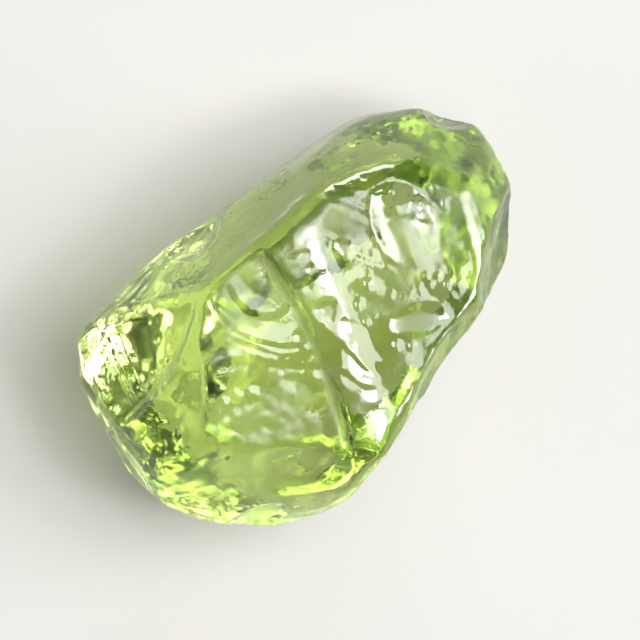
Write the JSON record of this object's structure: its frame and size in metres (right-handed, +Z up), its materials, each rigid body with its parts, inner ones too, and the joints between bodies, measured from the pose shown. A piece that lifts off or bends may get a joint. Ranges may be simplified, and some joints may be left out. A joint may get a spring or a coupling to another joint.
{
  "type": "peridot crystal",
  "caption": "Loose sub-rounded peridot grain, see-through yellow-green, with worn flat faces, shallow shell-shaped hollows and a flat face it rests on.",
  "frame": {"origin": "on the face that the crystal rests on, under the middle of its box", "axes": "+Z up from the resting face, +X along the crystal's length to its domed end, +Y across it"},
  "size_m": [0.0084, 0.0052, 0.005],
  "materials": {
    "peridot": "worn smooth, glassy with fine frosting"
  },
  "bodies": {
    "root": {"peridot_crystal": "peridot"}
  },
  "joints": []
}
